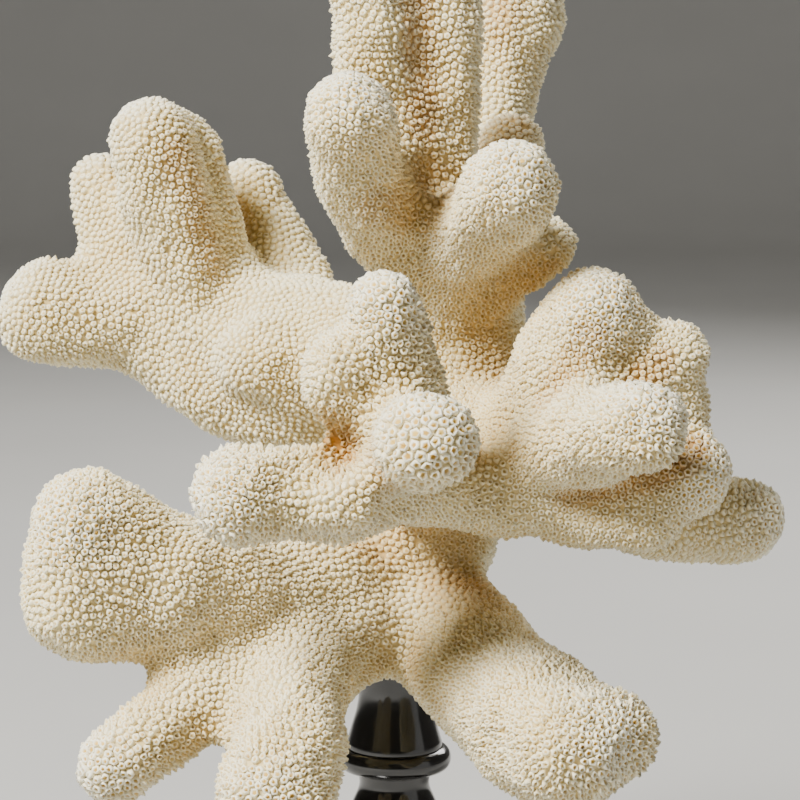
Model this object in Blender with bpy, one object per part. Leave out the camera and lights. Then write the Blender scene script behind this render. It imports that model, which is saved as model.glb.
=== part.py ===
# Branching coral on a turned stand.
# The coral is grown as one body over the lines of its limbs, then parted at its main forks.
# Run with: blender --background --python part.py

import math

import bpy
import bmesh
import numpy as np
from mathutils import Vector, noise
from mathutils.bvhtree import BVHTree

# Driving dimensions, in millimetres
MM = 0.001
SEAT_HEIGHT = 88.0        # underside of the stand to the cut face of the coral
BASE_DIAMETER = 96.0
BASE_HEIGHT = 19.0
POST_DIAMETER = 19.0
FOOT_RADIUS = 12.6        # how far out the coral is cut off flat over its seat
FORK_GAP = 0.3            # between two limbs, and between the coral and its stand

# How the coral's skin is grown over its lines, in millimetres
BALL_STEP = 0.3           # spacing of the balls along a line, as a share of their radius
SKIN_VOXEL = 1.2
CROTCH_FILLET = 1.9       # how far the crotches between limbs are filled
SMOOTH_ROUNDS = 4
SHORTEST_EDGE = 0.5       # slivers along the cuts are closed up to this length
KEPT_FACES = 0.0415        # share of the faces that stay when the grown skin is thinned
LUMPS = ((10.0, 1.1), (4.6, 0.6))        # wavelength and height

CORAL_COLOUR = (0.80, 0.69, 0.50)
CORAL_ROUGHNESS = 0.75
LACQUER_COLOUR = (0.012, 0.011, 0.010)
LACQUER_ROUGHNESS = 0.12
POST_SIDES = 20
BASE_SIDES = 36

# Lines of the limbs: x, y, z from the middle of the seat, and radius. The viewer is at -Y.
LIMBS = {
    "trunk": ((0, 0, 6, 13), (2, 0, 14, 13), (6, 2, 28, 13.6), (9, 4, 44, 14), (10, 8, 58, 13.2)),
    "crown_stem": ((10, 8, 58, 13), (8, 2, 70, 10.6)),
    "crown_left_lobe": ((8, -2, 66, 8), (0, -8, 74, 7.8), (-5.4, -20, 84, 7.8), (-6.8, -29, 94.6, 7.6)),
    "crown_centre_lobe": ((6, 0, 74, 7), (1, -3, 88, 7.8), (-3.4, -6, 102, 6.9), (-3.8, -8, 117, 6.9)),
    "crown_centre_ridge": ((8, 0, 76, 6), (9.4, -2, 94, 5.2), (9.6, -4, 106, 5.1), (9, -5, 118, 5.3)),
    "crown_right_lobe": ((12, 14, 62, 9), (17, 30, 77, 8.2), (18, 38, 94, 7.6), (22, 42, 110, 9), (22, 44, 119, 7.8)),
    "crown_right_knuckle": ((17, 30, 76, 7.6), (20.6, 22, 87, 6)),
    "crown_front_lobe": ((9, 0, 62, 9), (10, -6, 68, 7.8), (15, -20, 76.6, 7.8), (19, -33, 83.6, 7.7)),
    "crown_low_lobe": ((14, -2, 64, 7), (18, -5, 68, 6.5), (25, -11, 72, 5.6)),
    "left_branch": ((6, 10, 42, 12), (-6, 28, 48, 12), (-14, 34, 50, 12), (-29, 40, 52, 11), (-46, 42, 54, 9.8)),
    "left_low_edge": ((-8, 32, 40, 9), (-17, 34, 39, 9.2), (-29, 36, 41, 9), (-45, 40, 50, 8)),
    "left_far_lobe": ((-46, 42, 54, 9.8), (-55, 40, 54, 9), (-64, 38, 55, 9.6)),
    "left_small_lobe": ((-46, 44, 56, 8), (-52, 46, 66, 6.6), (-55, 50, 78, 6)),
    "left_tall_lobe": ((-36, 40, 56, 8.6), (-41, 36, 72, 8), (-44, 34, 87, 8.2)),
    "left_tall_ridge": ((-32, 44, 56, 8), (-36, 43, 74, 7.2), (-39, 42, 85, 7)),
    "left_back_lobe": ((-16, 44, 50, 9), (-22, 58, 63, 7.4), (-28, 64, 75, 6.8)),
    "left_lump": ((-14, 30, 43, 9), (-24, 27, 48, 8.4)),
    "front_branch": ((10, -5, 35, 10.4), (5, -20, 35, 8.8), (0, -36, 39, 8.4)),
    "front_left_lobe": ((0, -38, 38, 8), (-8, -47, 35, 6.4), (-16, -52, 36.5, 7), (-24, -54, 37, 7.6)),
    "front_lump": ((-5, -49, 35, 5), (-8, -57, 36, 4.6)),
    "front_upper_lobe": ((2, -40, 41, 7), (0.6, -44.5, 50, 8), (-0.8, -47.5, 58, 7.2), (-1.5, -50, 66.5, 5.2)),
    "front_shoulder": ((-2, -46, 57, 6), (-8, -50, 56, 6), (-8.6, -49.6, 52, 5.4)),
    "front_blunt_lobe": ((1, -44, 42, 6.6), (3, -54, 45, 6.8), (5, -64, 47, 7.2)),
    "right_branch": ((10, -2, 38, 10.4), (21, -14, 38, 11.2), (31, -24, 43, 11)),
    "right_bar": ((2, -36, 37, 6.4), (11, -28, 33, 6.6), (24, -24, 33, 7.6), (34, -24, 34, 7.4)),
    "right_top_lobe": ((27, -22, 47, 9.6), (30, -26, 56, 9.2), (33, -28, 62.4, 8)),
    "right_second_lobe": ((34, -24, 48, 8.6), (41, -26, 52, 7), (45.6, -26, 55.4, 6)),
    "right_edge": ((38, -26, 44, 7), (46, -26, 47, 6.2)),
    "right_face_lobe": ((27, -30, 42, 8.2), (34, -42, 45, 7.4), (39.4, -48, 46.6, 7)),
    "right_third_lobe": ((36, -26, 34, 7.2), (43, -28, 35, 7), (49, -30, 36, 6.8)),
    "right_low_lobe": ((30, -24, 29, 6.6), (42, -31, 29, 5)),
    "right_far_lobe": ((32, -22, 32, 8.4), (48, -14, 26, 7.2), (60, -10, 25, 7)),
    "lower_left_branch": ((1, -2, 9, 10.8), (-11, -12, 13, 10.6), (-24, -22, 15, 11), (-38, -32, 18, 11.6)),
    "lower_left_top": ((-38, -32, 20, 10), (-50, -38, 30, 8.2)),
    "lower_left_middle": ((-38, -32, 20, 10), (-51, -38, 23, 9.2)),
    "lower_left_bottom": ((-38, -32, 17, 10), (-51, -38, 16, 9.2)),
    "lower_front_branch": ((0, -4, 8, 10), (-8, -14, 7, 9.8), (-15, -24, 4, 9)),
    "lower_front_left_finger": ((-14, -20, 6, 8), (-24, -28, 5, 7), (-35, -38, -2, 6.6), (-45, -46, -9, 6)),
    "lower_front_finger": ((-13, -24, 4, 8.6), (-17, -36, -1, 9), (-17, -46, -6, 9.4), (-19, -54, -11, 9)),
    "lower_front_knuckle": ((-18, -42, -4, 7), (-22, -52, -12, 6.2)),
    "lower_right_branch": ((4, -2, 9, 11.6), (12, -16, 3, 11.2), (21, -35, -2, 11.4), (28, -50, -4, 10.6)),
    "lower_right_knuckle": ((24, -40, -2, 8), (34, -49, -3, 7.8)),
    "right_knob": ((6, 8, 14, 9), (13, 20, 14, 5.6)),
    "back_upper_branch": ((12, 14, 54, 10.6), (15, 42, 65, 8), (20, 61, 80, 6.8)),
    "back_right_branch": ((12, 12, 38, 10.6), (27, 36, 39, 9), (38, 57, 52, 6.6)),
    "back_right_fork": ((28, 38, 39, 8), (46, 44, 33, 6.8)),
    "back_left_branch": ((-2, 26, 44, 9), (-8, 52, 42, 7.6), (-14, 70, 48, 6.8)),
    "back_low_branch": ((4, 8, 18, 11), (2, 36, 13, 9.4), (-2, 58, 14, 8.2)),
    "back_low_left": ((2, 34, 13, 8), (-18, 52, 4, 7.4)),
    "back_low_right": ((2, 36, 13, 8), (11, 56, 6, 7)),
}

# Main forks: the limb that comes free, the line that is cut across, how far along it, and the
# way the cut faces where that isn't along the line. The bar between two limbs is cut first.
FORKS = (
    ("front_stem", "right_bar", 0.28, None),
    ("front_branch", "front_branch", 0.70, (-0.6, -0.8, 0)),
    ("right_branch", "right_branch", 0.46, None),
    ("front_upper_lobe", "front_upper_lobe", 0.60, None),
    ("front_blunt_lobe", "front_blunt_lobe", 0.62, (0.5, -0.85, 0.15)),
    ("right_far_lobe", "right_far_lobe", 0.45, None),
    ("crown_stem", "crown_stem", 0.30, None),
    ("crown_left_lobe", "crown_left_lobe", 0.62, (-0.3, -0.95, 0.1)),
    ("crown_centre_lobe", "crown_centre_lobe", 0.43, None),
    ("crown_right_lobe", "crown_right_lobe", 0.30, None),
    ("crown_front_lobe", "crown_front_lobe", 0.50, None),
    ("left_branch", "left_branch", 0.26, None),
    ("left_far_lobe", "left_far_lobe", 0.60, (-0.97, 0, -0.22)),
    ("left_upper_lobes", "left_tall_lobe", 0.42, None),
    ("lower_left_branch", "lower_left_branch", 0.26, None),
    ("lower_left_finger", "lower_front_left_finger", 0.76, (-0.85, -0.35, -0.4)),
    ("lower_front_finger", "lower_front_finger", 0.42, None),
    ("lower_right_branch", "lower_right_branch", 0.34, None),
    ("back_upper_branch", "back_upper_branch", 0.66, None),
    ("back_right_branch", "back_right_branch", 0.60, None),
    ("back_low_branch", "back_low_branch", 0.40, None),
)
STEM_MIDDLE = (4, -24, 36)       # inside the front stem, which the cut bar leaves behind it


def new_material(name, colour, roughness):
    material = bpy.data.materials.new(name)
    material.use_nodes = True
    shader = material.node_tree.nodes["Principled BSDF"]
    shader.inputs["Base Color"].default_value = (*colour, 1.0)
    shader.inputs["Roughness"].default_value = roughness
    shader.inputs["Metallic"].default_value = 0.0
    return material


def add_object(name, mesh):
    made = bpy.data.objects.new(name, mesh)
    bpy.context.scene.collection.objects.link(made)
    return made


def apply_modifiers(made):
    # Puts the object's modifiers into its mesh.
    graph = bpy.context.evaluated_depsgraph_get()
    mesh = bpy.data.meshes.new_from_object(made.evaluated_get(graph))
    made.modifiers.clear()
    made.data = mesh


def line_point(line, share):
    # A point of the smooth line through a limb's points: place and radius, in millimetres.
    last = len(line) - 1
    span = min(int(share * last), last - 1)
    t = share * last - span
    a, b, c, d = (line[min(max(span + k, 0), last)] for k in (-1, 0, 1, 2))
    spot = [
        0.5 * (2 * b[k] + (c[k] - a[k]) * t + (2 * a[k] - 5 * b[k] + 4 * c[k] - d[k]) * t * t
               + (3 * b[k] - a[k] - 3 * c[k] + d[k]) * t ** 3)
        for k in range(4)
    ]
    return Vector(spot[:3]), spot[3]


def line_direction(line, share):
    ahead = line_point(line, min(share + 0.03, 1.0))[0]
    behind = line_point(line, max(share - 0.03, 0.0))[0]
    return (ahead - behind).normalized()


def above_seat(spot):
    # From millimetres over the seat to metres over the floor.
    return (spot + Vector((0, 0, SEAT_HEIGHT))) * MM


def ball_mesh():
    bm = bmesh.new()
    bmesh.ops.create_icosphere(bm, subdivisions=3, radius=1.0)
    places = np.array([vertex.co[:] for vertex in bm.verts])
    corners = np.array([[vertex.index for vertex in face.verts] for face in bm.faces])
    bm.free()
    return places, corners


def strung_balls(swell):
    # Balls strung close along every line, each swollen by the same amount, as one loose mesh.
    places, corners = ball_mesh()
    all_places = []
    all_corners = []
    for line in LIMBS.values():
        length = sum((Vector(b[:3]) - Vector(a[:3])).length for a, b in zip(line, line[1:]))
        thinnest = min(spot[3] for spot in line)
        count = max(2, round(length / (BALL_STEP * thinnest)))
        for k in range(count + 1):
            centre, radius = line_point(line, k / count)
            all_corners.append(corners + len(places) * len(all_places))
            all_places.append(np.array(above_seat(centre)) + places * (radius + swell) * MM)
    mesh = bpy.data.meshes.new("coral")
    mesh.from_pydata(np.concatenate(all_places), [], np.concatenate(all_corners))
    return mesh


def remesh_and_soften(coral, rounds):
    skin = coral.modifiers.new("Skin", "REMESH")
    skin.mode = "VOXEL"
    skin.voxel_size = SKIN_VOXEL * MM
    soften = coral.modifiers.new("Soften", "SMOOTH")
    soften.factor = 0.5
    soften.iterations = rounds
    apply_modifiers(coral)


def move_skin(mesh, lift):
    # Moves each vertex along its normal by lift(place in millimetres), also in millimetres.
    normals = [vertex.normal.copy() for vertex in mesh.vertices]
    for vertex, normal in zip(mesh.vertices, normals):
        vertex.co += normal * lift(vertex.co / MM) * MM


def lump_height(spot):
    return sum(height * noise.noise(spot / wave) for wave, height in LUMPS)


def grow_coral():
    # Swollen balls fill the crotches; drawing the skin back in leaves the limbs at their true size.
    coral = add_object("coral", strung_balls(CROTCH_FILLET))
    remesh_and_soften(coral, 2)
    move_skin(coral.data, lambda spot: -CROTCH_FILLET)
    remesh_and_soften(coral, SMOOTH_ROUNDS)
    move_skin(coral.data, lump_height)
    thin = coral.modifiers.new("Thin", "DECIMATE")
    thin.ratio = KEPT_FACES
    apply_modifiers(coral)
    return coral


def cut_foot(coral):
    # The coral is cut off flat over the seat. The lower limbs further out are left whole.
    radius = FOOT_RADIUS * MM
    depth = 24.0
    bm = bmesh.new()
    bmesh.ops.create_cone(bm, cap_ends=True, segments=32, radius1=radius, radius2=radius, depth=depth * MM)
    mesh = bpy.data.meshes.new("foot_cut")
    bm.to_mesh(mesh)
    bm.free()
    cutter = add_object("foot_cut", mesh)
    cutter.location = above_seat(Vector((0, 0, FORK_GAP - depth / 2)))
    cutter.hide_render = True
    cutter.display_type = "WIRE"
    saw = coral.modifiers.new("Foot", "BOOLEAN")
    saw.operation = "DIFFERENCE"
    saw.solver = "EXACT"
    saw.object = cutter
    apply_modifiers(coral)
    bpy.data.objects.remove(cutter)


def spread(seeds, belongs):
    # All faces that hang together with the seeds and belong.
    found = set(seeds)
    stack = list(seeds)
    while stack:
        for edge in stack.pop().edges:
            for face in edge.link_faces:
                if face not in found and belongs(face):
                    found.add(face)
                    stack.append(face)
    return found


def saw_line(bm, centre, direction):
    # Cuts the skin along the ring of faces nearest to centre. Returns the edges of the cut.
    side = {vertex: (vertex.co - centre).dot(direction) > 0 for vertex in bm.verts}
    crossing = {f for f in bm.faces if len({side[v] for v in f.verts}) == 2}
    nearest = min(crossing, key=lambda f: (f.calc_center_median() - centre).length)
    ring = spread([nearest], lambda f: f in crossing)
    parts = list(ring) + list({e for f in ring for e in f.edges}) + list({v for f in ring for v in f.verts})
    done = bmesh.ops.bisect_plane(bm, geom=parts, dist=1e-8, plane_co=centre, plane_no=direction)
    return [item for item in done["geom_cut"] if isinstance(item, bmesh.types.BMEdge)]


def cut_fork(bm, centre, direction):
    # Parts a limb from the rest along one flat cut, closes both sides and draws them apart.
    cut_edges = saw_line(bm, centre, direction)
    parted = bmesh.ops.split_edges(bm, edges=cut_edges)["edges"]
    rims = {edge for edge in parted + cut_edges if edge.is_valid and edge.is_boundary}
    for vertex in {vertex for edge in rims for vertex in edge.verts}:
        reach = sum((face.calc_center_median() - centre).dot(direction) for face in vertex.link_faces)
        vertex.co += direction * math.copysign(FORK_GAP * MM / 2, reach)
    bmesh.ops.holes_fill(bm, edges=list(rims), sides=0)


def separate_faces(bm):
    left = set(bm.faces)
    groups = []
    while left:
        group = spread([next(iter(left))], lambda face: True)
        left -= group
        groups.append(group)
    return groups


def holds(tree, spot):
    # Whether a closed skin has the spot inside it: a line up from it leaves the skin an odd number of times.
    crossings = 0
    step = Vector((0.00001, 0.00002, 1.0)).normalized()
    place = tree.ray_cast(spot, step)[0]
    while place:
        crossings += 1
        place = tree.ray_cast(place + step * 1e-6, step)[0]
    return crossings % 2 == 1


def part_limbs(coral):
    bm = bmesh.new()
    bm.from_mesh(coral.data)
    for name, line_name, share, facing in FORKS:
        line = LIMBS[line_name]
        direction = Vector(facing).normalized() if facing else line_direction(line, share)
        cut_fork(bm, above_seat(line_point(line, share)[0]), direction)
    groups = separate_faces(bm)
    names = ["trunk"] + [fork[0] for fork in FORKS]
    for group in groups:
        limb = limb_mesh(group)
        tree = BVHTree.FromBMesh(limb)
        name = next((name for name in names if holds(tree, limb_spot(name))), None)
        if name is None:
            raise ValueError("a cut left a piece that belongs to no limb")
        names.remove(name)
        add_limb(name, limb)
    bm.free()
    bpy.data.objects.remove(coral)


def limb_spot(name):
    # A place inside the named limb, by which its piece is known.
    if name == "front_stem":
        return above_seat(Vector(STEM_MIDDLE))
    line_name, start = next(((fork[1], fork[2]) for fork in FORKS if fork[0] == name), (name, 0.0))
    return above_seat(line_point(LIMBS[line_name], min(start + 0.3, 1.0))[0])


def limb_mesh(faces):
    limb = bmesh.new()
    twins = {}
    for vertex in {vertex for face in faces for vertex in face.verts}:
        twins[vertex] = limb.verts.new(vertex.co)
    for face in faces:
        limb.faces.new([twins[vertex] for vertex in face.verts])
    bmesh.ops.dissolve_degenerate(limb, dist=SHORTEST_EDGE * MM, edges=limb.edges)
    bmesh.ops.triangulate(limb, faces=limb.faces)
    bmesh.ops.recalc_face_normals(limb, faces=limb.faces)
    if limb.calc_volume(signed=True) < 0:
        bmesh.ops.reverse_faces(limb, faces=limb.faces)
    return limb


def add_limb(name, limb):
    mesh = bpy.data.meshes.new(name)
    limb.to_mesh(mesh)
    limb.free()
    mesh.shade_smooth()
    mesh.materials.append(new_material(name, CORAL_COLOUR, CORAL_ROUGHNESS))
    add_object(name, mesh)


def turned(name, profile, sides):
    # A lathe-turned piece from its outline: radius and height, top to bottom, in millimetres.
    mesh = bpy.data.meshes.new(name)
    spots = [(radius * MM, 0.0, height * MM) for radius, height in profile]
    mesh.from_pydata(spots, [(k, k + 1) for k in range(len(spots) - 1)], [])
    made = add_object(name, mesh)
    lathe = made.modifiers.new("Lathe", "SCREW")
    lathe.steps = sides
    lathe.render_steps = sides
    lathe.use_merge_vertices = True
    lathe.merge_threshold = 0.00001
    mesh.materials.append(new_material(name, LACQUER_COLOUR, LACQUER_ROUGHNESS))


def bead(radius, low, high, bulge, steps=4):
    # A round moulding between two heights.
    middle = (low + high) / 2
    half = (high - low) / 2
    return [
        (radius + bulge * math.sin(math.pi * k / steps), middle + half * math.cos(math.pi * k / steps))
        for k in range(steps + 1)
    ]


def build_stand():
    post = POST_DIAMETER / 2
    foot = BASE_DIAMETER / 2
    post_foot = BASE_HEIGHT + FORK_GAP
    profile = [(0.0, SEAT_HEIGHT), (post - 0.8, SEAT_HEIGHT), (post, SEAT_HEIGHT - 0.8), (post, SEAT_HEIGHT - 3.0)]
    profile += [(6.6, 84.0), (6.2, 81.5), (6.6, 78.0), (7.6, 74.5), (8.6, 71.8)]
    profile += bead(8.4, 67.0, 71.0, 1.6)
    profile += [(6.4, 66.2), (6.2, 64.0), (7.4, 61.0)]
    profile += [(9.6, 56.0), (11.2, 50.0), (11.4, 45.0), (10.2, 39.0), (8.2, 33.0), (6.8, 28.5)]
    profile += bead(6.8, 23.6, 27.4, 2.2)
    profile += [(7.4, 23.0), (9.4, 20.8), (12.0, post_foot), (0.0, post_foot)]
    turned("stand_post", profile, POST_SIDES)
    profile = [(0.0, BASE_HEIGHT), (15.0, BASE_HEIGHT), (15.8, 18.4), (16.0, 17.0), (17.5, 15.4), (22.0, 13.6)]
    profile += [(29.0, 12.2), (35.0, 11.2), (38.5, 10.6)]
    profile += bead(39.5, 6.4, 10.4, 2.0)
    profile += [(foot - 5.0, 5.8), (foot - 1.0, 5.2), (foot, 4.2), (foot, 0.8), (foot - 0.8, 0.0), (0.0, 0.0)]
    turned("stand_base", profile, BASE_SIDES)


def main():
    for old in list(bpy.data.objects):
        bpy.data.objects.remove(old)
    coral = grow_coral()
    cut_foot(coral)
    part_limbs(coral)
    build_stand()


main()
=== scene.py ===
import heapq
import math

import bpy
import numpy as np
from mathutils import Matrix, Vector
from mathutils.bvhtree import BVHTree
from mathutils.kdtree import KDTree


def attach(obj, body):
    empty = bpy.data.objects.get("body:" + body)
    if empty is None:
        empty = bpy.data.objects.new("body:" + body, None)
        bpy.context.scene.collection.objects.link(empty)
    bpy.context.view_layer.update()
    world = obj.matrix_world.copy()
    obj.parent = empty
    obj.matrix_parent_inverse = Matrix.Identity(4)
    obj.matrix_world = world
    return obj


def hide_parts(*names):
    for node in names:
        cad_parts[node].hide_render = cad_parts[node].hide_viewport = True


# Branching coral on its turned stand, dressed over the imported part.
# Lengths in the dictionaries are in millimetres.
mm = 0.001
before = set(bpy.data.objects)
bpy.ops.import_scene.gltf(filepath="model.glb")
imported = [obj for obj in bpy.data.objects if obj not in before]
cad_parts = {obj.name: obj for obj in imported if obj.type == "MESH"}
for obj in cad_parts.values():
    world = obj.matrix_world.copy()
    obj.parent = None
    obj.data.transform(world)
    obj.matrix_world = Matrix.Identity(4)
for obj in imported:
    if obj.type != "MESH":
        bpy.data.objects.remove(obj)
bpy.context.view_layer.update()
bpy.ops.object.select_all(action="DESELECT")
rng = np.random.default_rng(41)
coralNodes = sorted(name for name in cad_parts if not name.startswith("stand_"))
seatHeight = 88.3
weldWithin = 0.01 * mm


def selectOnly(*chosen):
    bpy.ops.object.select_all(action="DESELECT")
    for each in chosen:
        each.select_set(True)
    bpy.context.view_layer.objects.active = chosen[-1]


def applyModifier(obj, kind, **settings):
    selectOnly(obj)
    bpy.ops.object.modifier_add(type=kind)
    modifier = obj.modifiers[-1]
    for key, value in settings.items():
        setattr(modifier, key, value)
    bpy.ops.object.modifier_apply(modifier=modifier.name)


def unit(vectors):
    return vectors / np.maximum(np.linalg.norm(vectors, axis=-1, keepdims=True), 1e-12)


def fade(value, low, high):
    share = np.clip((value - low) / (high - low), 0.0, 1.0)
    return share * share * (3 - 2 * share)


# The skin under the cups is one body over all limbs, smoothed and then drawn in by half a millimetre.
skinPlan = {
    "swell": 0.25, "voxel": 0.7, "smoothing": 0.5, "rounds": 10, "drawIn": 0.5, "triangles": 50000,
    "footRadius": 12.5, "footRise": 1.6, "rimDepth": 1.2, "rings": (0.0, 0.25, 0.5, 0.75),
}


def growSkin():
    twins = []
    for name in coralNodes:
        twin = bpy.data.objects.new("skin_" + name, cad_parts[name].data.copy())
        bpy.context.scene.collection.objects.link(twin)
        selectOnly(twin)
        bpy.ops.object.mode_set(mode="EDIT")
        bpy.ops.mesh.select_all(action="SELECT")
        bpy.ops.mesh.remove_doubles(threshold=weldWithin)
        bpy.ops.mesh.normals_make_consistent(inside=False)
        bpy.ops.object.mode_set(mode="OBJECT")
        applyModifier(twin, "DISPLACE", strength=skinPlan["swell"] * mm, mid_level=0.0)
        twins.append(twin)
    selectOnly(*twins)
    bpy.ops.object.join()
    grown = bpy.context.object
    grown.name = "coral_skin"
    applyModifier(grown, "REMESH", mode="VOXEL", voxel_size=skinPlan["voxel"] * mm)
    applyModifier(grown, "SMOOTH", factor=skinPlan["smoothing"], iterations=skinPlan["rounds"])
    applyModifier(grown, "DISPLACE", strength=-skinPlan["drawIn"] * mm, mid_level=0.0)
    faceCount = sum(len(face.vertices) - 2 for face in grown.data.polygons)
    applyModifier(
        grown, "DECIMATE", ratio=skinPlan["triangles"] / faceCount, use_collapse_triangulate=True)
    # The cut foot stays flat down to its seat
    rim, top = skinPlan["footRadius"] * mm, (seatHeight + skinPlan["footRise"]) * mm
    for vertex in grown.data.vertices:
        if vertex.co.z < top and math.hypot(vertex.co.x, vertex.co.y) < rim:
            vertex.co.z = seatHeight * mm
    return grown


skin = growSkin()
skinMesh = skin.data
skinSpots = np.empty(len(skinMesh.vertices) * 3)
skinMesh.vertices.foreach_get("co", skinSpots)
skinSpots = skinSpots.reshape(-1, 3) / mm
skinNormals = np.empty(len(skinMesh.vertices) * 3)
skinMesh.vertices.foreach_get("normal", skinNormals)
skinNormals = skinNormals.reshape(-1, 3)
skinEdges = np.empty(len(skinMesh.edges) * 2, dtype=np.int64)
skinMesh.edges.foreach_get("vertices", skinEdges)
skinEdges = skinEdges.reshape(-1, 2)
skinMesh.calc_loop_triangles()
skinFaces = np.empty(len(skinMesh.loop_triangles) * 3, dtype=np.int64)
skinMesh.loop_triangles.foreach_get("vertices", skinFaces)
skinFaces = skinFaces.reshape(-1, 3)
skinTree = BVHTree.FromPolygons(skinSpots.tolist(), skinFaces.tolist())
print("skin", len(skinSpots), "points", len(skinFaces), "triangles")


# How the skin's own measures are taken: the cut foot, the tips of limbs, and rays for the hollows
fieldPlan = {
    "footRadius": 14.0, "footRise": 1.0, "farthest": 400.0, "smoothing": 8,
    "tipAround": 5.5, "tipFull": 3.0, "tipEnd": 11.0, "tipSmoothing": 3,
    "rays": 22, "rayTurn": 2.399963, "rayStart": 0.25, "reach": 24.0, "distantLoss": 0.6, "raySmoothing": 4,
    "hollowStart": 0.2, "hollowFull": 0.45, "bareRise": 0.7,
}


def evenOut(values, rounds):
    # Draws each point's value halfway to the mean of its neighbours' in every round
    first, second = skinEdges[:, 0], skinEdges[:, 1]
    count = np.bincount(skinEdges.ravel(), minlength=len(skinSpots))
    rows = values.reshape(len(skinSpots), -1).copy()
    for _ in range(rounds):
        for column in range(rows.shape[1]):
            total = np.bincount(first, rows[second, column], len(skinSpots))
            total += np.bincount(second, rows[first, column], len(skinSpots))
            rows[:, column] = 0.5 * rows[:, column] + 0.5 * total / np.maximum(count, 1)
    return rows.reshape(values.shape)


def wayFromFoot():
    # Shortest way over the skin from the cut foot. It rises along every limb to its tip.
    near = [[] for _ in skinSpots]
    lengths = np.linalg.norm(skinSpots[skinEdges[:, 0]] - skinSpots[skinEdges[:, 1]], axis=1)
    for (one, other), length in zip(skinEdges.tolist(), lengths.tolist()):
        near[one].append((other, length))
        near[other].append((one, length))
    atFoot = skinSpots[:, 2] < seatHeight + fieldPlan["footRise"]
    atFoot &= np.hypot(skinSpots[:, 0], skinSpots[:, 1]) < fieldPlan["footRadius"]
    reached = [math.inf] * len(skinSpots)
    queue = []
    for index in np.nonzero(atFoot)[0].tolist():
        reached[index] = 0.0
        queue.append((0.0, index))
    heapq.heapify(queue)
    while queue:
        way, index = heapq.heappop(queue)
        if way > reached[index]:
            continue
        for other, length in near[index]:
            if way + length < reached[other]:
                reached[other] = way + length
                heapq.heappush(queue, (way + length, other))
    return evenOut(np.minimum(np.array(reached), fieldPlan["farthest"]), fieldPlan["smoothing"])


def growthAlong(way):
    # Direction over the skin in which the way from the foot gets longer
    corners = skinSpots[skinFaces]
    cross = np.cross(corners[:, 1] - corners[:, 0], corners[:, 2] - corners[:, 0])
    flat = unit(cross)
    rise = np.zeros_like(flat)
    for k in range(3):
        opposite = corners[:, (k + 2) % 3] - corners[:, (k + 1) % 3]
        rise += way[skinFaces[:, k]][:, None] * np.cross(flat, opposite)
    total = np.zeros_like(skinSpots)
    for k in range(3):
        np.add.at(total, skinFaces[:, k], rise)
    total = evenOut(unit(total), fieldPlan["smoothing"])
    total -= skinNormals * (total * skinNormals).sum(1)[:, None]
    return unit(total)


def treeOf(rows):
    tree = KDTree(len(rows))
    for index, spot in enumerate(rows):
        tree.insert(spot, index)
    tree.balance()
    return tree


def tipness(way):
    # Ends of limbs are where the way from the foot is longest within a limb's width
    tree = treeOf(skinSpots.tolist())
    highest = np.full(len(skinSpots), -1.0)
    np.maximum.at(highest, skinEdges[:, 0], way[skinEdges[:, 1]])
    np.maximum.at(highest, skinEdges[:, 1], way[skinEdges[:, 0]])
    ends = []
    for index in np.nonzero(way >= highest)[0].tolist():
        around = [other for _, other, _ in tree.find_range(skinSpots[index].tolist(), fieldPlan["tipAround"])]
        if way[index] >= way[around].max() - 1e-6:
            ends.append(skinSpots[index])
    ends = np.array(ends)
    nearest = np.full(len(skinSpots), np.inf)
    for end in ends:
        nearest = np.minimum(nearest, np.linalg.norm(skinSpots - end, axis=1))
    print("tips", len(ends))
    return evenOut(1 - fade(nearest, fieldPlan["tipFull"], fieldPlan["tipEnd"]), fieldPlan["tipSmoothing"])


def shelter():
    # Share of the sky that the limbs themselves hide from each point of the skin
    rays, reach = fieldPlan["rays"], fieldPlan["reach"]
    turns = np.arange(rays) * fieldPlan["rayTurn"]
    rises = np.sqrt((np.arange(rays) + 0.5) / rays)
    slant = (0.31, 0.52, 0.79)
    across = unit(np.cross(skinNormals, slant))
    along = np.cross(skinNormals, across)
    hidden = np.zeros(len(skinSpots))
    for turn, spread in zip(turns, rises):
        aims = across * (spread * math.cos(turn)) + along * (spread * math.sin(turn))
        aims += skinNormals * math.sqrt(1 - spread * spread)
        starts = skinSpots + skinNormals * fieldPlan["rayStart"]
        for index, (start, aim) in enumerate(zip(starts.tolist(), aims.tolist())):
            struck = skinTree.ray_cast(start, aim, reach)
            if struck[0] is not None:
                hidden[index] += 1.0 - fieldPlan["distantLoss"] * struck[3] / reach
    return evenOut(hidden / rays, fieldPlan["raySmoothing"])


# Streaks of tan and brown, partly the coral's own stain and partly painted shade in its grooves, notches, caves and
# crotches: two ends of a streak, its width and its strength
stainsAndShade = {
    "crownGroove": ((3, -9.5, 206), (5, -9, 180), 4.6, 0.75),
    "crownRightFace": ((18, 33, 206), (18, 20, 178), 9.0, 0.6),
    "crownLeftFoot": ((-2, -25, 168), (5, -19, 166), 6.5, 0.4),
    "rightNotch": ((43.2, -32, 143), (39, -33, 139), 4.0, 0.9),
    "rightCave": ((48, -34, 129), (40, -35.5, 125), 5.0, 1.15),
    "rightCrease": ((40, -35.5, 124), (29, -32, 121.5), 4.0, 0.8),
    "rightShoulder": ((32, -35, 148), (25, -34, 137), 4.0, 0.5),
    "frontCrotch": ((-1.5, -58, 133), (0.5, -60, 127), 4.0, 0.6),
    "leftStripe": ((-39, 28, 173), (-32, 32, 153), 5.0, 0.5),
}


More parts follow.
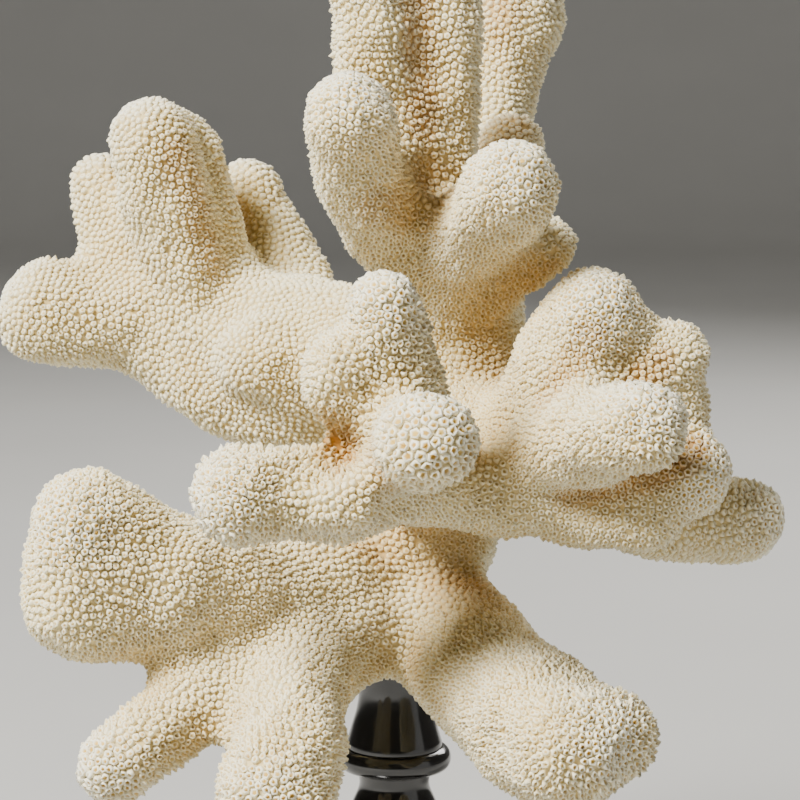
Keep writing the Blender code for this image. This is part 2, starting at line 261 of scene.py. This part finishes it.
def stainAndShadeAt(spots):
    # Full in the core of a streak, fading to nothing at its width
    core = 0.35
    found = np.zeros(len(spots))
    for start, end, width, strength in stainsAndShade.values():
        start, along = np.array(start, float), np.subtract(end, start)
        share = np.clip(((spots - start) * along).sum(1) / (along * along).sum(), 0, 1)
        far = np.linalg.norm(spots - start - share[:, None] * along, axis=1)
        found = np.maximum(found, strength * (1 - fade(far, core * width, width)))
    return found


way = wayFromFoot()
growth = growthAlong(way)
tip = tipness(way)
hollow = shelter()
stainAndShade = stainAndShadeAt(skinSpots)
print("fields", round(float(way.max())), "mm from the foot to the farthest tip")

# Cups stand about 1.35 mm apart. These are the least clear distances round one, and factors on them.
spacing = {
    "side": 0.935, "tip": 0.94, "hollow": 1.15, "back": 1.14, "backStart": 40.0, "backFull": 56.0,
    "wide": 1.32, "wideAt": (5, -70, 134), "wideFull": 6.0, "wideEnd": 12.0,
    "candidates": 380000, "rounds": 6, "neighbours": 7, "pushReach": 1.5, "push": 0.45,
}


def spreadSpots():
    # Random spots on the skin, none of them too close to another
    corners = skinSpots[skinFaces]
    area = np.linalg.norm(np.cross(corners[:, 1] - corners[:, 0], corners[:, 2] - corners[:, 0]), axis=1)
    picked = rng.choice(len(skinFaces), size=spacing["candidates"], p=area / area.sum())
    first, second = rng.random(spacing["candidates"]), rng.random(spacing["candidates"])
    over = first + second > 1
    first[over], second[over] = 1 - first[over], 1 - second[over]
    share = np.stack([1 - first - second, first, second], axis=1)
    found = (corners[picked] * share[:, :, None]).sum(1)
    foundHollow = (hollow[skinFaces[picked]] * share).sum(1)
    foundTip = (tip[skinFaces[picked]] * share).sum(1)
    clear = spacing["side"] + (spacing["tip"] - spacing["side"]) * foundTip
    clear += (spacing["hollow"] - spacing["side"]) * fade(
        foundHollow, fieldPlan["hollowStart"], fieldPlan["hollowFull"])
    # The back limbs and the blunt front lobe carry coarser cups
    clear *= 1 + (spacing["back"] - 1) * fade(found[:, 1], spacing["backStart"], spacing["backFull"])
    fromWide = np.linalg.norm(found - spacing["wideAt"], axis=1)
    clear *= 1 + (spacing["wide"] - 1) * (1 - fade(fromWide, spacing["wideFull"], spacing["wideEnd"]))
    rows = found.tolist()
    tree = treeOf(rows)
    free = bytearray(b"\x01") * len(rows)
    kept = []
    for index in range(len(rows)):
        if free[index]:
            kept.append(index)
            for _, other, _ in tree.find_range(rows[index], clear[index]):
                free[other] = 0
    spots, clear = found[kept], clear[kept]
    # They push each other into an even spread, as they do on the real coral
    for step in range(spacing["rounds"] + 1):
        rows = spots.tolist()
        tree = treeOf(rows)
        near = np.array([[hit[1] for hit in tree.find_n(spot, spacing["neighbours"])] for spot in rows])
        gap = spots[:, None] - spots[near]
        far = np.linalg.norm(gap, axis=2)
        if step == spacing["rounds"]:
            break
        push = np.clip(1 - far / (spacing["pushReach"] * clear[:, None]), 0, 1)
        push = (gap / np.maximum(far, 1e-9)[:, :, None] * push[:, :, None]).sum(1)
        spots = spots + push * clear[:, None] * spacing["push"]
        spots = np.array([skinTree.find_nearest(spot)[0] for spot in spots.tolist()])
    pitch = np.sort(far, axis=1)[:, 1:spacing["neighbours"] - 1].mean(1)
    return spots, pitch


def readFields(spots):
    # The skin's normal, growth direction, tipness and hollow at each spot
    found = [skinTree.find_nearest(spot)[2] for spot in spots.tolist()]
    corners = skinSpots[skinFaces[found]]
    opposite = np.cross(corners[:, 1] - corners[:, 0], corners[:, 2] - corners[:, 0])
    whole = (opposite * opposite).sum(1)
    share = np.empty((len(spots), 3))
    for k in range(3):
        side = np.cross(corners[:, (k + 2) % 3] - corners[:, (k + 1) % 3], spots - corners[:, (k + 1) % 3])
        share[:, k] = (side * opposite).sum(1) / whole
    share = np.clip(share, 0, 1)
    share /= share.sum(1, keepdims=True)
    picked = skinFaces[found]
    normals = unit((skinNormals[picked] * share[:, :, None]).sum(1))
    along = (growth[picked] * share[:, :, None]).sum(1)
    along = unit(along - normals * (along * normals).sum(1)[:, None])
    return normals, along, (tip[picked] * share).sum(1), (hollow[picked] * share).sum(1)


cupSpots, cupPitch = spreadSpots()
onFoot = cupSpots[:, 2] < seatHeight + fieldPlan["bareRise"]
onFoot &= np.hypot(cupSpots[:, 0], cupSpots[:, 1]) < fieldPlan["footRadius"]
cupSpots, cupPitch = cupSpots[~onFoot], cupPitch[~onFoot]
cupNormals, cupAlong, cupTip, cupHollow = readFields(cupSpots)
print("cups", len(cupSpots), "pitch", round(float(cupPitch.mean()), 2), "mm")

# Rows of three hold for the sides of limbs, their tips and the hollows between them. Skirt, lip and crest are radii
# in shares of half the pitch. Height and sink are in millimetres. Lip rise, hood and lean are shares of the height.
# A few cups are filled nearly to the crest.
cupPlan = {
    "skirt": (1.0, 1.15, 1.0), "sink": (-0.25, 0.0, -0.25),
    "lip": (0.94, 1.06, 0.85), "lipRise": (0.66, 0.84, 0.6),
    "crest": (0.62, 0.8, 0.6), "height": (0.6, 0.66, 0.5),
    "hood": (0.42, 0.05, 0.5), "lean": (0.3, 0.03, 0.4),
    "sides": 5, "halfLeast": 0.5, "halfMost": 1.0, "flank": 0.08, "hoodPower": 0.7,
    "filled": 0.03, "filledTo": 0.75, "openTo": 0.05,
}

# How much single cups differ, and how much more ragged they are on the lobes in front
cupVariety = {
    "crest": 0.06, "height": 0.12, "heightLeast": 0.6, "heightMost": 1.3, "hood": 0.08, "lean": 0.1, "turn": 0.45,
    "ruffle": 0.09, "uneven": 0.06, "raggedStart": 36.0, "raggedFull": 48.0, "raggedHeight": 0.3,
    "raggedRuffle": 0.6,
}


def modelCup():
    # One cup from its skirt up over a thick lip to the crest and down into the pit
    half = math.pi / cupPlan["sides"]
    lipUp, crestUp, pitDown = 0.6, 0.4, -0.8
    bpy.ops.mesh.primitive_circle_add(vertices=cupPlan["sides"], radius=1.0, rotation=(0, 0, half))
    bpy.ops.object.transform_apply(location=False, rotation=True, scale=False)
    cup = bpy.context.object
    bpy.ops.object.mode_set(mode="EDIT")
    bpy.ops.mesh.select_all(action="SELECT")
    for lift in (lipUp, crestUp, pitDown):
        bpy.ops.mesh.extrude_region_move(TRANSFORM_OT_translate={"value": (0, 0, lift)})
    bpy.ops.mesh.merge(type="CENTER")
    bpy.ops.mesh.select_all(action="SELECT")
    bpy.ops.mesh.normals_make_consistent(inside=False)
    bpy.ops.object.mode_set(mode="OBJECT")
    points = np.array([vertex.co for vertex in cup.data.vertices])
    faces = [list(face.vertices) for face in cup.data.polygons]
    middle = next(face for face in cup.data.polygons if len(face.vertices) == 3)
    if middle.normal.z < 0:
        faces = [face[::-1] for face in faces]
    bpy.data.objects.remove(cup)
    return points, faces


cupPoints, cupFaces = modelCup()
isPit = np.hypot(cupPoints[:, 0], cupPoints[:, 1]) < 0.1
isSkirt = cupPoints[:, 2] < 0.1
isLip = np.abs(cupPoints[:, 2] - 0.6) < 0.1
isCrest = cupPoints[:, 2] > 0.9


def placeCups():
    # Every cup's points on the skin, each cup turned to the growth of its limb and a little different
    count = len(cupSpots)
    inHollow = fade(cupHollow, fieldPlan["hollowStart"], fieldPlan["hollowFull"])
    half = np.clip(cupPitch / 2, cupPlan["halfLeast"], cupPlan["halfMost"])
    ragged = fade(-cupSpots[:, 1], cupVariety["raggedStart"], cupVariety["raggedFull"])

    def blendOf(key):
        side, atTip, deep = cupPlan[key]
        value = side + (atTip - side) * cupTip
        return value + (deep - value) * inHollow

    crest = blendOf("crest") * half
    crest *= rng.normal(1, cupVariety["crest"], count)
    height = blendOf("height")
    height += cupPlan["flank"] * 4 * cupTip * (1 - cupTip)
    height *= np.clip(
        rng.normal(1, cupVariety["height"], count), cupVariety["heightLeast"], cupVariety["heightMost"])
    height *= 1 + cupVariety["raggedHeight"] * ragged
    hood = blendOf("hood") + rng.normal(0, cupVariety["hood"], count)
    lean = blendOf("lean") + rng.normal(0, cupVariety["lean"], count)
    pit = np.where(rng.random(count) < cupPlan["filled"], cupPlan["filledTo"] * height, cupPlan["openTo"])
    turn = rng.normal(0, cupVariety["turn"], count)
    along = cupAlong * np.cos(turn)[:, None] + np.cross(cupNormals, cupAlong) * np.sin(turn)[:, None]
    across = np.cross(cupNormals, along)
    angle = np.arctan2(cupPoints[:, 1], cupPoints[:, 0])
    spin = np.cos(angle)
    hooded = np.sign(spin) * np.abs(spin) ** cupPlan["hoodPower"]
    skirt, lip = blendOf("skirt") * half, blendOf("lip") * half
    sink, lipRise = blendOf("sink"), blendOf("lipRise")
    each = (count, len(cupPoints))
    ruffle = 1 + rng.normal(0, cupVariety["ruffle"], each) * (1 + cupVariety["raggedRuffle"] * ragged)[:, None]
    uneven = 1 + rng.normal(0, cupVariety["uneven"], each) * (1 + ragged)[:, None]
    radius = isSkirt * skirt[:, None] + isLip * lip[:, None] + isCrest * crest[:, None]
    radius = radius * ruffle
    rise = height[:, None] * (1 - hood[:, None] * hooded[None]) * uneven
    lift = isSkirt * sink[:, None] + isLip * lipRise[:, None] * rise + isCrest * rise + isPit * pit[:, None]
    ahead = radius * spin[None] + lean[:, None] * np.maximum(lift, 0)
    beside = radius * np.sin(angle)[None]
    placed = cupSpots[:, None] + ahead[:, :, None] * along[:, None] + beside[:, :, None] * across[:, None]
    return placed + lift[:, :, None] * cupNormals[:, None]


cupShapes = placeCups()


def nodeLabels(spots):
    # Which node of the part each spot belongs to
    points, faces, owners = [], [], []
    for number, name in enumerate(coralNodes):
        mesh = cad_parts[name].data
        start = len(points)
        points += [tuple(vertex.co / mm) for vertex in mesh.vertices]
        faces += [[start + k for k in face.vertices] for face in mesh.polygons]
        owners += [number] * len(mesh.polygons)
    tree = BVHTree.FromPolygons(points, faces)
    return np.array([owners[tree.find_nearest(spot)[2]] for spot in spots.tolist()])


def settleLabels(labels):
    # A face takes the label that most of its neighbours have, so the partings run clean
    shared = {}
    for index, face in enumerate(skinFaces.tolist()):
        for k in range(3):
            key = (min(face[k], face[k - 1]), max(face[k], face[k - 1]))
            shared.setdefault(key, []).append(index)
    pairs = np.array([rows for rows in shared.values() if len(rows) == 2])
    rounds, ownVote = 8, 0.9
    for _ in range(rounds):
        votes = np.zeros((len(labels), len(coralNodes)))
        votes[np.arange(len(labels)), labels] += ownVote
        np.add.at(votes, (pairs[:, 0], labels[pairs[:, 1]]), 1)
        np.add.at(votes, (pairs[:, 1], labels[pairs[:, 0]]), 1)
        labels = votes.argmax(1)
    return labels


cupLabels = nodeLabels(cupSpots)
skinLabels = settleLabels(nodeLabels(skinSpots[skinFaces].mean(1)))


def socket(node, key, value):
    node.inputs[key].default_value = value


class Look:
    # Small helper that adds shader nodes and links them
    def __init__(self, name):
        self.material = bpy.data.materials.new(name)
        self.material.use_nodes = True
        self.tree = self.material.node_tree
        self.shader = self.tree.nodes["Principled BSDF"]
        self.coords = self.tree.nodes.new("ShaderNodeTexCoord").outputs["Object"]

    def add(self, kind, **settings):
        node = self.tree.nodes.new(kind)
        for key, value in settings.items():
            setattr(node, key, value)
        return node

    def link(self, source, node, key):
        self.tree.links.new(source, node.inputs[key])

    def noise(self, scale, detail=3.0, roughness=0.5):
        node = self.add("ShaderNodeTexNoise")
        self.link(self.coords, node, "Vector")
        socket(node, "Scale", scale)
        socket(node, "Detail", detail)
        socket(node, "Roughness", roughness)
        return node.outputs["Fac"]

    def cells(self, scale):
        node = self.add("ShaderNodeTexVoronoi")
        self.link(self.coords, node, "Vector")
        socket(node, "Scale", scale)
        return node.outputs["Distance"]

    def value(self, name):
        return self.add("ShaderNodeAttribute", attribute_name=name).outputs["Fac"]

    def spread(self, source, low, high, toLow=0.0, toHigh=1.0):
        node = self.add("ShaderNodeMapRange")
        self.link(source, node, "Value")
        for key, value in zip(("From Min", "From Max", "To Min", "To Max"), (low, high, toLow, toHigh)):
            socket(node, key, value)
        return node.outputs["Result"]

    def calc(self, kind, first, second):
        node = self.add("ShaderNodeMath", operation=kind)
        for index, part in enumerate((first, second)):
            if isinstance(part, float):
                node.inputs[index].default_value = part
            else:
                self.tree.links.new(part, node.inputs[index])
        return node.outputs[0]

    def mix(self, factor, first, second, kind="MIX"):
        node = self.add("ShaderNodeMix", data_type="RGBA", blend_type=kind)
        for index, part in ((0, factor), (6, first), (7, second)):
            if isinstance(part, (tuple, float)):
                node.inputs[index].default_value = part
            else:
                self.tree.links.new(part, node.inputs[index])
        return node.outputs[2]

    def bump(self, height, strength, distance):
        node = self.add("ShaderNodeBump")
        self.link(height, node, "Height")
        socket(node, "Strength", strength)
        socket(node, "Distance", distance)
        return node.outputs["Normal"]


def tint(red, green, blue):
    # A colour as it is seen, turned into the linear value that the shader takes
    return tuple(
        part / 255 / 12.92 if part / 255 <= 0.04045 else ((part / 255 + 0.055) / 1.055) ** 2.4
        for part in (red, green, blue)) + (1.0,)


def coralLook():
    look = Look("bleached_coral")
    crestPart = look.value("crest")
    pit = look.value("pit")
    inHollow = look.value("hollow")
    atTip = look.value("tip")
    tone = look.value("tone")
    broad = look.spread(look.noise(55, 2.0, 0.6), 0.35, 0.65)
    fine = look.spread(look.noise(900, 2.0, 0.6), 0.3, 0.7)
    stainedAndShaded = look.value("stainAndShade")
    ground = look.mix(broad, tint(204, 180, 122), tint(222, 204, 154))
    body = look.mix(crestPart, ground, tint(248, 240, 208))
    body = look.mix(atTip, body, look.mix(crestPart, tint(230, 216, 176), tint(252, 249, 230)))
    # Painted shade: a tan tint where the limbs hide the skin's sky
    shade = look.spread(inHollow, 0.08, 0.3)
    body = look.mix(look.calc("MULTIPLY", shade, 0.55), body, tint(214, 188, 128))
    pitTone = look.mix(tone, tint(192, 146, 44), tint(216, 180, 88))
    inPit = look.calc("MULTIPLY", look.spread(pit, 0.0, 0.5), look.spread(atTip, 0.0, 0.7, 0.62, 0.95))
    body = look.mix(inPit, body, pitTone)
    # Brown in the deepest hollows and along the streaks, weaker on the cups' crests: painted shade, and in part the
    # coral's own stain
    deep = look.spread(inHollow, 0.24, 0.46)
    blotch = look.spread(look.noise(140, 2.0, 0.6), 0.3, 0.7, 0.55, 1.15)
    deep = look.calc("MAXIMUM", deep, look.calc("MULTIPLY", stainedAndShaded, blotch))
    deep = look.calc("MULTIPLY", deep, look.spread(crestPart, 0.0, 1.0, 1.0, 0.5))
    body = look.mix(look.calc("MULTIPLY", deep, 0.92), body, tint(176, 124, 42))
    body = look.mix(look.spread(fine, 0.0, 1.0, 0.0, 0.16), body, tint(208, 194, 152), "MULTIPLY")
    specks = look.spread(look.cells(95), 0.035, 0.02)
    body = look.mix(look.calc("MULTIPLY", specks, 0.7), body, tint(96, 76, 52))
    look.link(body, look.shader, "Base Color")
    rough = look.spread(fine, 0.0, 1.0, 0.72, 0.9)
    look.link(rough, look.shader, "Roughness")
    socket(look.shader, "Specular IOR Level", 0.35)
    socket(look.shader, "Subsurface Weight", 0.15)
    socket(look.shader, "Subsurface Radius", (1.0, 0.78, 0.45))
    socket(look.shader, "Subsurface Scale", 0.0007)
    grain = look.bump(look.noise(1700, 2.0, 0.6), 0.7, 0.00013)
    look.link(grain, look.shader, "Normal")
    return look.material


coralMaterial = coralLook()


def meshFrom(name, points, *faceSets):
    # A mesh from points in millimetres and sets of faces with equal numbers of corners
    mesh = bpy.data.meshes.new(name)
    loops = np.concatenate([faces.ravel() for faces in faceSets]).astype(np.int32)
    sizes = np.concatenate([np.full(len(faces), faces.shape[1]) for faces in faceSets]).astype(np.int32)
    starts = np.concatenate([[0], np.cumsum(sizes)[:-1]]).astype(np.int32)
    mesh.vertices.add(len(points))
    mesh.vertices.foreach_set("co", (points * mm).astype(np.float32).ravel())
    mesh.loops.add(len(loops))
    mesh.loops.foreach_set("vertex_index", loops)
    mesh.polygons.add(len(sizes))
    mesh.polygons.foreach_set("loop_start", starts)
    mesh.update(calc_edges=True)
    mesh.validate()
    return mesh


def openRims(faces):
    # The rim of each opening in a patch of skin, as a ring of points in order
    sides = np.concatenate([faces[:, [0, 1]], faces[:, [1, 2]], faces[:, [2, 0]]]).tolist()
    known = {tuple(side) for side in sides}
    onward = {}
    for start, end in known:
        if (end, start) not in known:
            onward.setdefault(end, []).append(start)
    rims = []
    while onward:
        here = first = min(onward)
        rim = []
        while True:
            rim.append(here)
            ahead = onward[here].pop()
            if not onward[here]:
                del onward[here]
            here = ahead
            if here == first:
                break
        rims.append(rim)
    return rims


def sunk(spots):
    # Spots that lie outside the skin, or close under it, are drawn in under it
    depth = skinPlan["rimDepth"]
    moved = []
    for spot in spots.tolist():
        near, facing = skinTree.find_nearest(spot)[:2]
        inside = (near - Vector(spot)).dot(facing) > depth
        moved.append(spot if inside else list(near - facing * depth))
    return np.array(moved)


def capSkin(name, faces):
    # The skin's share of a limb. At each parting the rim turns in and the opening is closed.
    used, renumbered = np.unique(faces, return_inverse=True)
    faces = renumbered.reshape(-1, 3)
    allSpots, caps, walls, rimEdges = [skinSpots[used]], [], [], set()
    count = len(used)
    for rim in openRims(faces):
        rimSpots, outer, around = skinSpots[used[rim]], rim, len(rim)
        middle = sunk(rimSpots.mean(0)[None])
        rimEdges |= {tuple(sorted((rim[k - 1], rim[k]))) for k in range(around)}
        for share in skinPlan["rings"]:
            allSpots.append(sunk(rimSpots + (middle - rimSpots) * share))
            inner = list(range(count, count + around))
            walls += [(outer[k - 1], outer[k], inner[k], inner[k - 1]) for k in range(around)]
            outer, count = inner, count + around
        allSpots.append(middle)
        caps += [(outer[k - 1], outer[k], count) for k in range(around)]
        count += 1
    mesh = meshFrom(name, np.concatenate(allSpots), np.concatenate([faces, np.array(caps)]), np.array(walls))
    for key, values in (("tip", tip), ("hollow", hollow), ("stainAndShade", stainAndShade)):
        values = np.concatenate([values[used], np.zeros(count - len(used))])
        mesh.attributes.new(key, "FLOAT", "POINT").data.foreach_set("value", values.astype(np.float32))
    made = bpy.data.objects.new(name, mesh)
    bpy.context.scene.collection.objects.link(made)
    selectOnly(made)
    bpy.ops.object.mode_set(mode="EDIT")
    bpy.ops.mesh.select_mode(type="EDGE")
    bpy.ops.mesh.select_all(action="DESELECT")
    bpy.ops.object.mode_set(mode="OBJECT")
    for edge in mesh.edges:
        edge.select = tuple(sorted(edge.vertices)) in rimEdges
    bpy.ops.object.mode_set(mode="EDIT")
    bpy.ops.mesh.mark_sharp()
    bpy.ops.object.mode_set(mode="OBJECT")
    return made


def cupsOf(name, chosen):
    # One node's cups as one mesh, with the values that the material reads
    shapes = cupShapes[chosen]
    count, each = shapes.shape[0], shapes.shape[1]
    offsets = np.arange(count)[:, None, None] * each
    lipTone = 0.7
    walls = np.array([face for face in cupFaces if len(face) == 4])
    pits = np.array([face for face in cupFaces if len(face) == 3])
    mesh = meshFrom(
        name, shapes.reshape(-1, 3), (walls[None] + offsets).reshape(-1, 4), (pits[None] + offsets).reshape(-1, 3))
    rows = {
        "crest": np.tile(isCrest + lipTone * isLip, count),
        "pit": np.tile(isPit.astype(float), count),
        "tip": np.repeat(cupTip[chosen], each),
        "hollow": np.repeat(cupHollow[chosen], each),
        "stainAndShade": np.repeat(stainAndShadeAt(cupSpots[chosen]), each),
        "tone": np.repeat(rng.random(count), each),
    }
    for key, values in rows.items():
        mesh.attributes.new(key, "FLOAT", "POINT").data.foreach_set("value", values.astype(np.float32))
    made = bpy.data.objects.new(name, mesh)
    bpy.context.scene.collection.objects.link(made)
    return made


triangleTotal = 0
for number, nodeName in enumerate(coralNodes):
    limb = capSkin("coral_" + nodeName, skinFaces[skinLabels == number])
    cups = cupsOf("cups_" + nodeName, np.nonzero(cupLabels == number)[0])
    selectOnly(cups, limb)
    bpy.ops.object.join()
    bpy.ops.object.shade_smooth(keep_sharp_edges=True)
    limb.data.materials.clear()
    limb.data.materials.append(coralMaterial)
    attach(limb, "root")
    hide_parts(nodeName)
    triangles = sum(len(face.vertices) - 2 for face in limb.data.polygons)
    triangleTotal += triangles
    print(limb.name, triangles)
bpy.data.objects.remove(skin)
print("coral", triangleTotal, "triangles")

# The stand, turned in two pieces
standPlan = {"sides": 96, "seat": 88.0, "post": 9.5, "baseTop": 19.0, "foot": 48.0, "gap": 0.3}


def bead(radius, low, high, bulge, steps=14):
    # The outline of a round ring, from its top down
    middle, half = (low + high) / 2, (high - low) / 2
    return [
        (radius + bulge * math.sin(math.pi * k / steps), middle + half * math.cos(math.pi * k / steps))
        for k in range(steps + 1)]


def rounded(points, steps=5):
    # A smooth line through the points of a given outline
    ends = [points[0]] + list(points) + [points[-1]]
    line = []
    for k in range(1, len(ends) - 2):
        before, here, after, beyond = (Vector(ends[k + m]) for m in (-1, 0, 1, 2))
        for step in range(steps):
            t = step / steps
            spot = 0.5 * (2 * here + (after - before) * t + (2 * before - 5 * here + 4 * after - beyond) * t * t
                          + (3 * here - before - 3 * after + beyond) * t ** 3)
            line.append((spot.x, spot.y))
    return line + [tuple(points[-1])]


def turn(name, profile):
    # An outline turned round the stand's axis
    mesh = bpy.data.meshes.new(name)
    mesh.from_pydata([(radius * mm, 0, height * mm) for radius, height in profile],
                     [(k, k + 1) for k in range(len(profile) - 1)], [])
    made = bpy.data.objects.new(name, mesh)
    bpy.context.scene.collection.objects.link(made)
    applyModifier(
        made, "SCREW", steps=standPlan["sides"], render_steps=standPlan["sides"],
        use_merge_vertices=True, merge_threshold=weldWithin, use_smooth_shade=True)
    bpy.ops.object.mode_set(mode="EDIT")
    bpy.ops.mesh.select_all(action="SELECT")
    bpy.ops.mesh.remove_doubles(threshold=weldWithin)
    bpy.ops.mesh.normals_make_consistent(inside=False)
    bpy.ops.object.mode_set(mode="OBJECT")
    bpy.ops.object.shade_smooth_by_angle(angle=math.radians(40))
    return made


def lacquerLook():
    look = Look("black_lacquer")
    broad = look.noise(30, 3.0, 0.55)
    fine = look.noise(700, 2.0, 0.5)
    body = look.mix(look.spread(broad, 0.3, 0.7), tint(14, 13, 12), tint(24, 22, 20))
    look.link(body, look.shader, "Base Color")
    rough = look.calc("ADD", look.spread(broad, 0.3, 0.7, 0.1, 0.2), look.spread(fine, 0.3, 0.7, 0.0, 0.05))
    look.link(rough, look.shader, "Roughness")
    socket(look.shader, "Coat Weight", 0.6)
    socket(look.shader, "Coat Roughness", 0.08)
    socket(look.shader, "Specular IOR Level", 0.5)
    ripple = look.bump(look.noise(160, 2.0, 0.4), 0.25, 0.0002)
    look.link(ripple, look.shader, "Normal")
    return look.material


lacquer = lacquerLook()
seat, post = standPlan["seat"], standPlan["post"]
baseTop, foot, gap = standPlan["baseTop"], standPlan["foot"], standPlan["gap"]
postOutline = [(0, seat), (post - 0.8, seat), (post - 0.24, seat - 0.24), (post, seat - 0.8), (post, seat - 3.0)]
postOutline += rounded([(6.9, 84.4), (6.2, 81.5), (6.6, 78.0), (7.6, 74.5), (8.4, 71.8)])
postOutline += bead(8.4, 67.0, 71.0, 1.6)
postOutline += rounded([(6.4, 66.2), (6.2, 64.0), (7.4, 61.0), (9.6, 56.0), (11.2, 50.0), (11.4, 45.0), (10.2, 39.0),
                        (8.2, 33.0), (6.8, 28.5)])
postOutline += bead(6.8, 23.6, 27.4, 2.2)
postOutline += rounded([(7.4, 23.0), (9.4, 20.8), (12.0, baseTop + gap)]) + [(0, baseTop + gap)]
baseOutline = [(0, baseTop), (15.0, baseTop), (15.6, 18.8), (15.9, 18.2), (16.0, 17.4)]
baseOutline += rounded([(16.2, 16.8), (17.5, 15.4), (22.0, 13.6), (29.0, 12.2), (35.0, 11.2), (38.5, 10.7)])
baseOutline += bead(39.5, 6.4, 10.4, 2.0)
baseOutline += [(foot - 5.0, 5.8), (foot - 1.4, 5.3), (foot - 0.4, 4.9), (foot, 4.2), (foot, 0.8),
                (foot - 0.24, 0.24), (foot - 0.8, 0), (0, 0)]
for pieceName, outline, nodeName in (
        ("turned_post", postOutline, "stand_post"), ("turned_base", baseOutline, "stand_base")):
    piece = turn(pieceName, outline)
    piece.data.materials.append(lacquer)
    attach(piece, "root")
    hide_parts(nodeName)
print("stand done")

# Floor, light and camera, in metres. The camera's view is as wide as a share of its distance.
studio = {
    "floor": 7.0, "wall": 2.6, "sweep": 0.9, "lightAim": 0.14,
    "aim": (0.001, -0.055, 0.140), "distance": 0.480, "rise": 8.0, "sensor": 36, "viewShare": 0.2583,
}
bpy.ops.mesh.primitive_plane_add(size=studio["floor"], location=(0, studio["wall"] - studio["floor"] / 2, 0))
floorPiece = bpy.context.object
floorPiece.name = "floor"
bpy.ops.object.transform_apply(location=True, rotation=False, scale=False)
for edge in floorPiece.data.edges:
    edge.select = all(floorPiece.data.vertices[k].co.y > studio["wall"] - 0.01 for k in edge.vertices)
bpy.ops.object.mode_set(mode="EDIT")
bpy.ops.mesh.select_mode(type="EDGE")
bpy.ops.mesh.extrude_region_move(TRANSFORM_OT_translate={"value": (0, 0, studio["floor"] / 2)})
bpy.ops.object.mode_set(mode="OBJECT")
applyModifier(floorPiece, "BEVEL", width=studio["sweep"], segments=24, limit_method="ANGLE")
bpy.ops.object.shade_smooth()
floorLook = Look("floor_paper")
floorBody = floorLook.mix(floorLook.noise(9, 2.0, 0.5), tint(180, 179, 176), tint(187, 186, 183))
floorLook.link(floorBody, floorLook.shader, "Base Color")
socket(floorLook.shader, "Roughness", 0.9)
floorPiece.data.materials.append(floorLook.material)


def addLight(name, spot, power, size, colour):
    bpy.ops.object.light_add(type="AREA", location=spot)
    lamp = bpy.context.object
    lamp.name = name
    lamp.data.energy = power
    lamp.data.size = size
    lamp.data.color = colour
    lamp.rotation_mode = "QUATERNION"
    lamp.rotation_quaternion = (Vector((0, 0, studio["lightAim"])) - Vector(spot)).to_track_quat("-Z", "Y")


addLight("key", (-0.56, -0.57, 0.88), 38.5, 0.35, (1.0, 0.985, 0.945))
addLight("fill", (0.8, -0.6, 0.3), 1.8, 0.9, (1.0, 0.99, 0.96))
addLight("rim", (0.35, 0.8, 0.7), 9.0, 0.6, (1.0, 0.98, 0.95))
world = bpy.data.worlds.new("studio")
world.use_nodes = True
world.node_tree.nodes["Background"].inputs["Color"].default_value = (0.78, 0.78, 0.76, 1)
world.node_tree.nodes["Background"].inputs["Strength"].default_value = 0.13
bpy.context.scene.world = world

rise = math.radians(studio["rise"])
back = Vector((0, -math.cos(rise), math.sin(rise)))
bpy.ops.object.camera_add(location=Vector(studio["aim"]) + back * studio["distance"])
camera = bpy.context.object
camera.rotation_mode = "QUATERNION"
camera.rotation_quaternion = (-back).to_track_quat("-Z", "Y")
camera.data.sensor_width = studio["sensor"]
camera.data.lens = studio["sensor"] / studio["viewShare"]
camera.data.clip_start = 0.01
bpy.context.scene.camera = camera
print("studio done")
